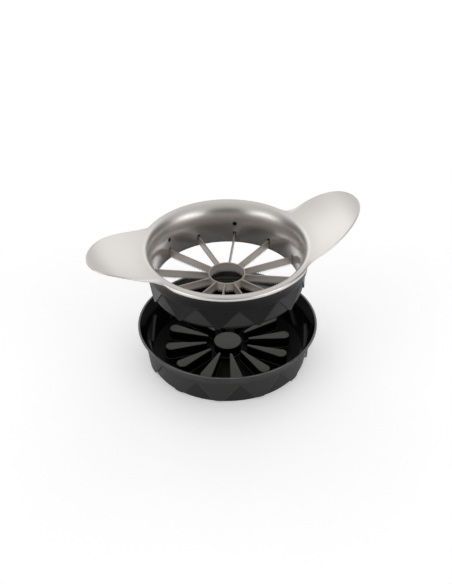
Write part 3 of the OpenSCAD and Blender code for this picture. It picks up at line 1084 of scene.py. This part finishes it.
floor_mesh = bpy.data.meshes.new("floor")
floor_corners = [(FLOOR_HALF * x, FLOOR_HALF * y, 0) for x, y in ((-1, -1), (1, -1), (1, 1), (-1, 1))]
floor_mesh.from_pydata(floor_corners, [], [(0, 1, 2, 3)])
floor_mesh.materials.append(floor_material())
floor = bpy.data.objects.new("floor", floor_mesh)
floor.location.z = -FLOOR_DROP
scene.collection.objects.link(floor)


# Camera at the photo's view

CAMERA_AZIMUTH = math.radians(-23.06)
CAMERA_ELEVATION = math.radians(36.22)
CAMERA_ROLL = math.radians(-0.76)
CAMERA_DISTANCE = 1.0
CAMERA_TARGET = Vector((-0.71, 0.30, 54.28)) * MM
CAMERA_LENS = 86.1
SENSOR = 36.0

level_toward = Vector((math.sin(CAMERA_AZIMUTH), -math.cos(CAMERA_AZIMUTH), 0))
toward = math.cos(CAMERA_ELEVATION) * level_toward + Vector((0, 0, math.sin(CAMERA_ELEVATION)))
right = Vector((0, 0, 1)).cross(toward).normalized()
up = toward.cross(right)
turned_right = math.cos(CAMERA_ROLL) * right + math.sin(CAMERA_ROLL) * up
turned_up = toward.cross(turned_right)
camera_data = bpy.data.cameras.new("camera")
camera_data.lens = CAMERA_LENS
camera_data.sensor_width = SENSOR
camera = bpy.data.objects.new("camera", camera_data)
camera.matrix_world = Matrix((turned_right, turned_up, toward)).transposed().to_4x4()
camera.location = CAMERA_TARGET + toward * CAMERA_DISTANCE
scene.collection.objects.link(camera)
scene.camera = camera


# Studio light: each part has its grey level and the pair of values between which it fades in

ROOM_LOW = 0.1
ROOM_HIGH = 0.7
ROOM_FADE = (0.25, 0.75)
BACKDROP_LOW = 1.28
BACKDROP_HIGH = 0.66
BACKDROP_FADE = (0.5, 0.85)
# The backdrop's middle is greyer than its sides
MIDDLE_LEVEL = 0.7
MIDDLE_FADE = (0.06, 0.22)
# Where the backdrop begins, measured towards the back and raised with height
BEHIND_FADE = (0.62, 0.88)
BEHIND_RISE = 0.8
BEHIND_START = -0.2
# Cards to the front sides: their height, fade and level
CARD_AZIMUTH = math.radians(55)
CARDS = ((0.45, (0.82, 0.95), 0.75), (-0.04, (0.87, 0.97), 2.6))
# A bright patch at the back left
STREAK_AZIMUTH = math.radians(28)
STREAK_HEIGHT = 0.64
STREAK_FADE = (0.98, 0.996)
STREAK_LEVEL = 1.6
# The lamp overhead, behind the object, in metres and watts
LAMP_BACK = 0.5
LAMP_UP = 1.5
LAMP_SIZE = 2.0
LAMP_POWER = 1.5


def studio():
    """A white backdrop behind, a grey ceiling, white cards to the front sides and a dark room in front."""
    world = bpy.data.worlds.new("studio")
    world.use_nodes = True
    tree = world.node_tree
    way = node(tree, "ShaderNodeTexCoord").outputs["Generated"]
    height = node(tree, "ShaderNodeSeparateXYZ", {0: way}).outputs[2]

    def along(direction):
        """How far the way points along a direction."""
        dot = node(tree, "ShaderNodeVectorMath", {0: way, 1: direction}, operation="DOT_PRODUCT")
        return dot.outputs["Value"]

    def fade(value, ends):
        """A soft change from 0 to 1 between two values."""
        return node(tree, "ShaderNodeMapRange", {"Value": value, "From Min": ends[0], "From Max": ends[1]},
                    interpolation_type="SMOOTHSTEP").outputs[0]

    room = blend_colors(tree, fade(height, ROOM_FADE), grey(ROOM_LOW), grey(ROOM_HIGH))
    backdrop = blend_colors(tree, fade(height, BACKDROP_FADE), grey(BACKDROP_LOW), grey(BACKDROP_HIGH))
    beside = math_node(tree, "ABSOLUTE", along(right))
    backdrop = blend_colors(tree, fade(beside, MIDDLE_FADE), grey(MIDDLE_LEVEL), backdrop)
    raised = math_node(tree, "MULTIPLY_ADD", height, BEHIND_RISE, BEHIND_START)
    behind = math_node(tree, "ADD", along(-level_toward), raised)
    color = blend_colors(tree, fade(behind, BEHIND_FADE), room, backdrop)
    for side in (-1, 1):
        card = math.cos(CARD_AZIMUTH) * level_toward + side * math.sin(CARD_AZIMUTH) * right
        for card_height, ends, level in CARDS:
            card.z = card_height
            color = blend_colors(tree, fade(along(card.normalized()), ends), color, grey(level))
    streak = -math.cos(STREAK_AZIMUTH) * level_toward - math.sin(STREAK_AZIMUTH) * right
    streak.z = STREAK_HEIGHT
    color = blend_colors(tree, fade(along(streak.normalized()), STREAK_FADE), color, grey(STREAK_LEVEL))
    tree.links.new(color, tree.nodes["Background"].inputs["Color"])
    scene.world = world


def soft_light(name, place, size, power):
    """A round soft lamp that points at the origin."""
    data = bpy.data.lights.new(name, "AREA")
    data.shape = "DISK"
    data.size = size
    data.energy = power
    lamp = bpy.data.objects.new(name, data)
    lamp.location = place
    lamp.rotation_mode = "QUATERNION"
    lamp.rotation_quaternion = Vector(place).to_track_quat("Z", "Y")
    scene.collection.objects.link(lamp)


studio()
soft_light("overhead", -LAMP_BACK * level_toward + Vector((0, 0, LAMP_UP)), LAMP_SIZE, LAMP_POWER)
scene.view_settings.view_transform = "Standard"
